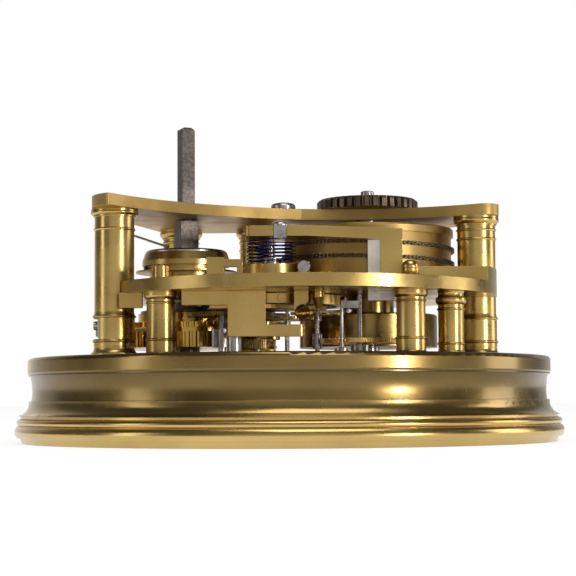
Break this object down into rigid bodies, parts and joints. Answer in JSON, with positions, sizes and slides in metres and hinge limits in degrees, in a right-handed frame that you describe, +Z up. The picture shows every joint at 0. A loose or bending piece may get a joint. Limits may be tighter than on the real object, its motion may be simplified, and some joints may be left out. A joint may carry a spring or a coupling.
{
  "type": "table chronometer movement",
  "caption": "Spring-driven table chronometer movement on its moulded brass bezel ring, with fusee, barrel, going train, balance with helical spring, dial and hands below.",
  "frame": {"origin": "the bezel ring's axis, on the plane that the ring rests on", "axes": "+Z up along the arbors, away from the dial; the pictured front faces -Y"},
  "size_m": [0.125, 0.125, 0.0725],
  "materials": {
    "ring_brass": "aged satin",
    "plate_brass": "polished",
    "wheel_brass": "grained",
    "steel": "polished",
    "dark_steel": "darkened",
    "blued_steel": "blued",
    "dial_white": "silvered",
    "clear_glass": "clear"
  },
  "bodies": {
    "frame": {"bezel_ring": "ring_brass", "dial_glass": "clear_glass", "pillar_plate": "plate_brass", "dial": "dial_white", "tall_pillar_left": "plate_brass", "tall_pillar_right": "plate_brass", "rear_pillars": "plate_brass", "window_catch": "steel", "front_pillars": "plate_brass", "middle_plate": "plate_brass", "upper_plate": "plate_brass", "plate_screws": "steel", "potence": "plate_brass", "train_bridge": "plate_brass", "balance_boss": "plate_brass", "balance_cock": "plate_brass", "spring_stud": "steel", "cock_steady": "steel", "small_screws": "steel", "upper_cap": "steel", "brass_posts": "plate_brass", "plate_blocks": "plate_brass", "index_screw": "plate_brass", "detent_mount": "steel", "barrel_arbor": "steel", "ratchet_wheel": "dark_steel", "chain": "dark_steel"},
    "great": {"great_wheel": "wheel_brass"},
    "fusee": {"fusee_cone": "plate_brass", "fusee_cap": "steel", "winding_arbor": "steel"},
    "barrel": {"barrel_drum": "plate_brass", "barrel_cover": "plate_brass", "lower_drum": "plate_brass", "mainspring": "dark_steel"},
    "first": {"first_arbor": "steel", "cross_wheel": "wheel_brass", "first_wheel": "wheel_brass"},
    "idler": {"idler_wheel": "wheel_brass"},
    "centre": {"centre_wheel": "wheel_brass", "minute_hand": "blued_steel"},
    "minute": {"minute_wheel": "wheel_brass"},
    "hour": {"hour_wheel": "wheel_brass", "hour_hand": "blued_steel"},
    "third": {"third_arbor": "steel", "third_wheel": "wheel_brass"},
    "fourth": {"fourth_arbor": "steel", "fourth_wheel": "wheel_brass"},
    "escape": {"escape_arbor": "steel", "escape_wheel": "wheel_brass"},
    "seconds": {"seconds_arbor": "steel", "seconds_wheel": "wheel_brass", "seconds_hand": "blued_steel"},
    "balance": {"balance_wheel": "plate_brass", "balance_weights": "plate_brass", "balance_staff": "steel", "balance_spring": "blued_steel"},
    "detent": {"detent_blade": "steel"},
    "click": {"click": "steel"},
    "stop_arm": {"stop_arm": "steel"}
  },
  "joints": [
    {"name": "fourth_spin", "type": "hinge", "parent": "frame", "child": "fourth", "pos_m": [-0.00042, -0.02078, 0.024], "axis": [0, 0, 1], "continuous": true},
    {"name": "great_spin", "type": "hinge", "parent": "frame", "child": "great", "pos_m": [-0.0236, -0.002, 0.022], "axis": [0, 0, 1], "continuous": true},
    {"name": "first_spin", "type": "hinge", "parent": "frame", "child": "first", "pos_m": [-0.01468, -0.01878, 0.022], "axis": [0, 0, 1], "continuous": true},
    {"name": "third_spin", "type": "hinge", "parent": "frame", "child": "third", "pos_m": [-0.00684, -0.01988, 0.022], "axis": [0, 0, 1], "continuous": true},
    {"name": "escape_spin", "type": "hinge", "parent": "frame", "child": "escape", "pos_m": [0.00619, -0.02008, 0.024], "axis": [0, 0, 1], "continuous": true},
    {"name": "seconds_spin", "type": "hinge", "parent": "frame", "child": "seconds", "pos_m": [0.01536, -0.02237, 0.022], "axis": [0, 0, 1], "continuous": true},
    {"name": "idler_spin", "type": "hinge", "parent": "frame", "child": "idler", "pos_m": [-0.00734, -0.00939, 0.0146], "axis": [0, 0, 1], "continuous": true},
    {"name": "centre_spin", "type": "hinge", "parent": "frame", "child": "centre", "pos_m": [0, 0, 0.0146], "axis": [0, 0, 1], "continuous": true},
    {"name": "minute_spin", "type": "hinge", "parent": "frame", "child": "minute", "pos_m": [0.0042, 0.00728, 0.013], "axis": [0, 0, 1], "continuous": true},
    {"name": "hour_spin", "type": "hinge", "parent": "frame", "child": "hour", "pos_m": [0, 0, 0.012], "axis": [0, 0, 1], "continuous": true},
    {"name": "winding", "type": "hinge", "parent": "great", "child": "fusee", "pos_m": [-0.0236, -0.002, 0.045], "axis": [0, 0, 1], "range_deg": [0, 2700]},
    {"name": "barrel_turn", "type": "hinge", "parent": "frame", "child": "barrel", "pos_m": [0.0185, 0.003, 0.042], "axis": [0, 0, 1], "range_deg": [0, 1500]},
    {"name": "balance_swing", "type": "hinge", "parent": "frame", "child": "balance", "pos_m": [-0.0039, -0.0137, 0.031], "axis": [0, 0, 1], "range_deg": [-270, 270], "stiffness_Nm_per_rad": 0.000002, "deforming": ["balance_spring"]},
    {"name": "detent_lift", "type": "hinge", "parent": "frame", "child": "detent", "pos_m": [0.0126, -0.0306, 0.0283], "axis": [0, 0, 1], "range_deg": [-2.5, 0], "stiffness_Nm_per_rad": 0.00002},
    {"name": "click_lift", "type": "hinge", "parent": "frame", "child": "click", "pos_m": [0.02059, 0.01785, 0.0544], "axis": [0, 0, 1], "range_deg": [-9, 0], "stiffness_Nm_per_rad": 0.0001},
    {"name": "stop_lift", "type": "hinge", "parent": "frame", "child": "stop_arm", "pos_m": [-0.03645, -0.012, 0.047], "axis": [1, 0, 0], "range_deg": [0, 8], "stiffness_Nm_per_rad": 0.0001}
  ],
  "couplings": [
    {"joint": "third_spin", "follows": "fourth_spin", "ratio": -0.125},
    {"joint": "first_spin", "follows": "fourth_spin", "ratio": 0.0125},
    {"joint": "great_spin", "follows": "fourth_spin", "ratio": -0.0014706},
    {"joint": "escape_spin", "follows": "fourth_spin", "ratio": -6},
    {"joint": "seconds_spin", "follows": "fourth_spin", "ratio": 0.75},
    {"joint": "idler_spin", "follows": "fourth_spin", "ratio": -0.017708},
    {"joint": "centre_spin", "follows": "fourth_spin", "ratio": 0.0125},
    {"joint": "minute_spin", "follows": "fourth_spin", "ratio": -0.0041667},
    {"joint": "hour_spin", "follows": "fourth_spin", "ratio": 0.0010417},
    {"joint": "barrel_turn", "follows": "winding", "ratio": 0.55}
  ]
}
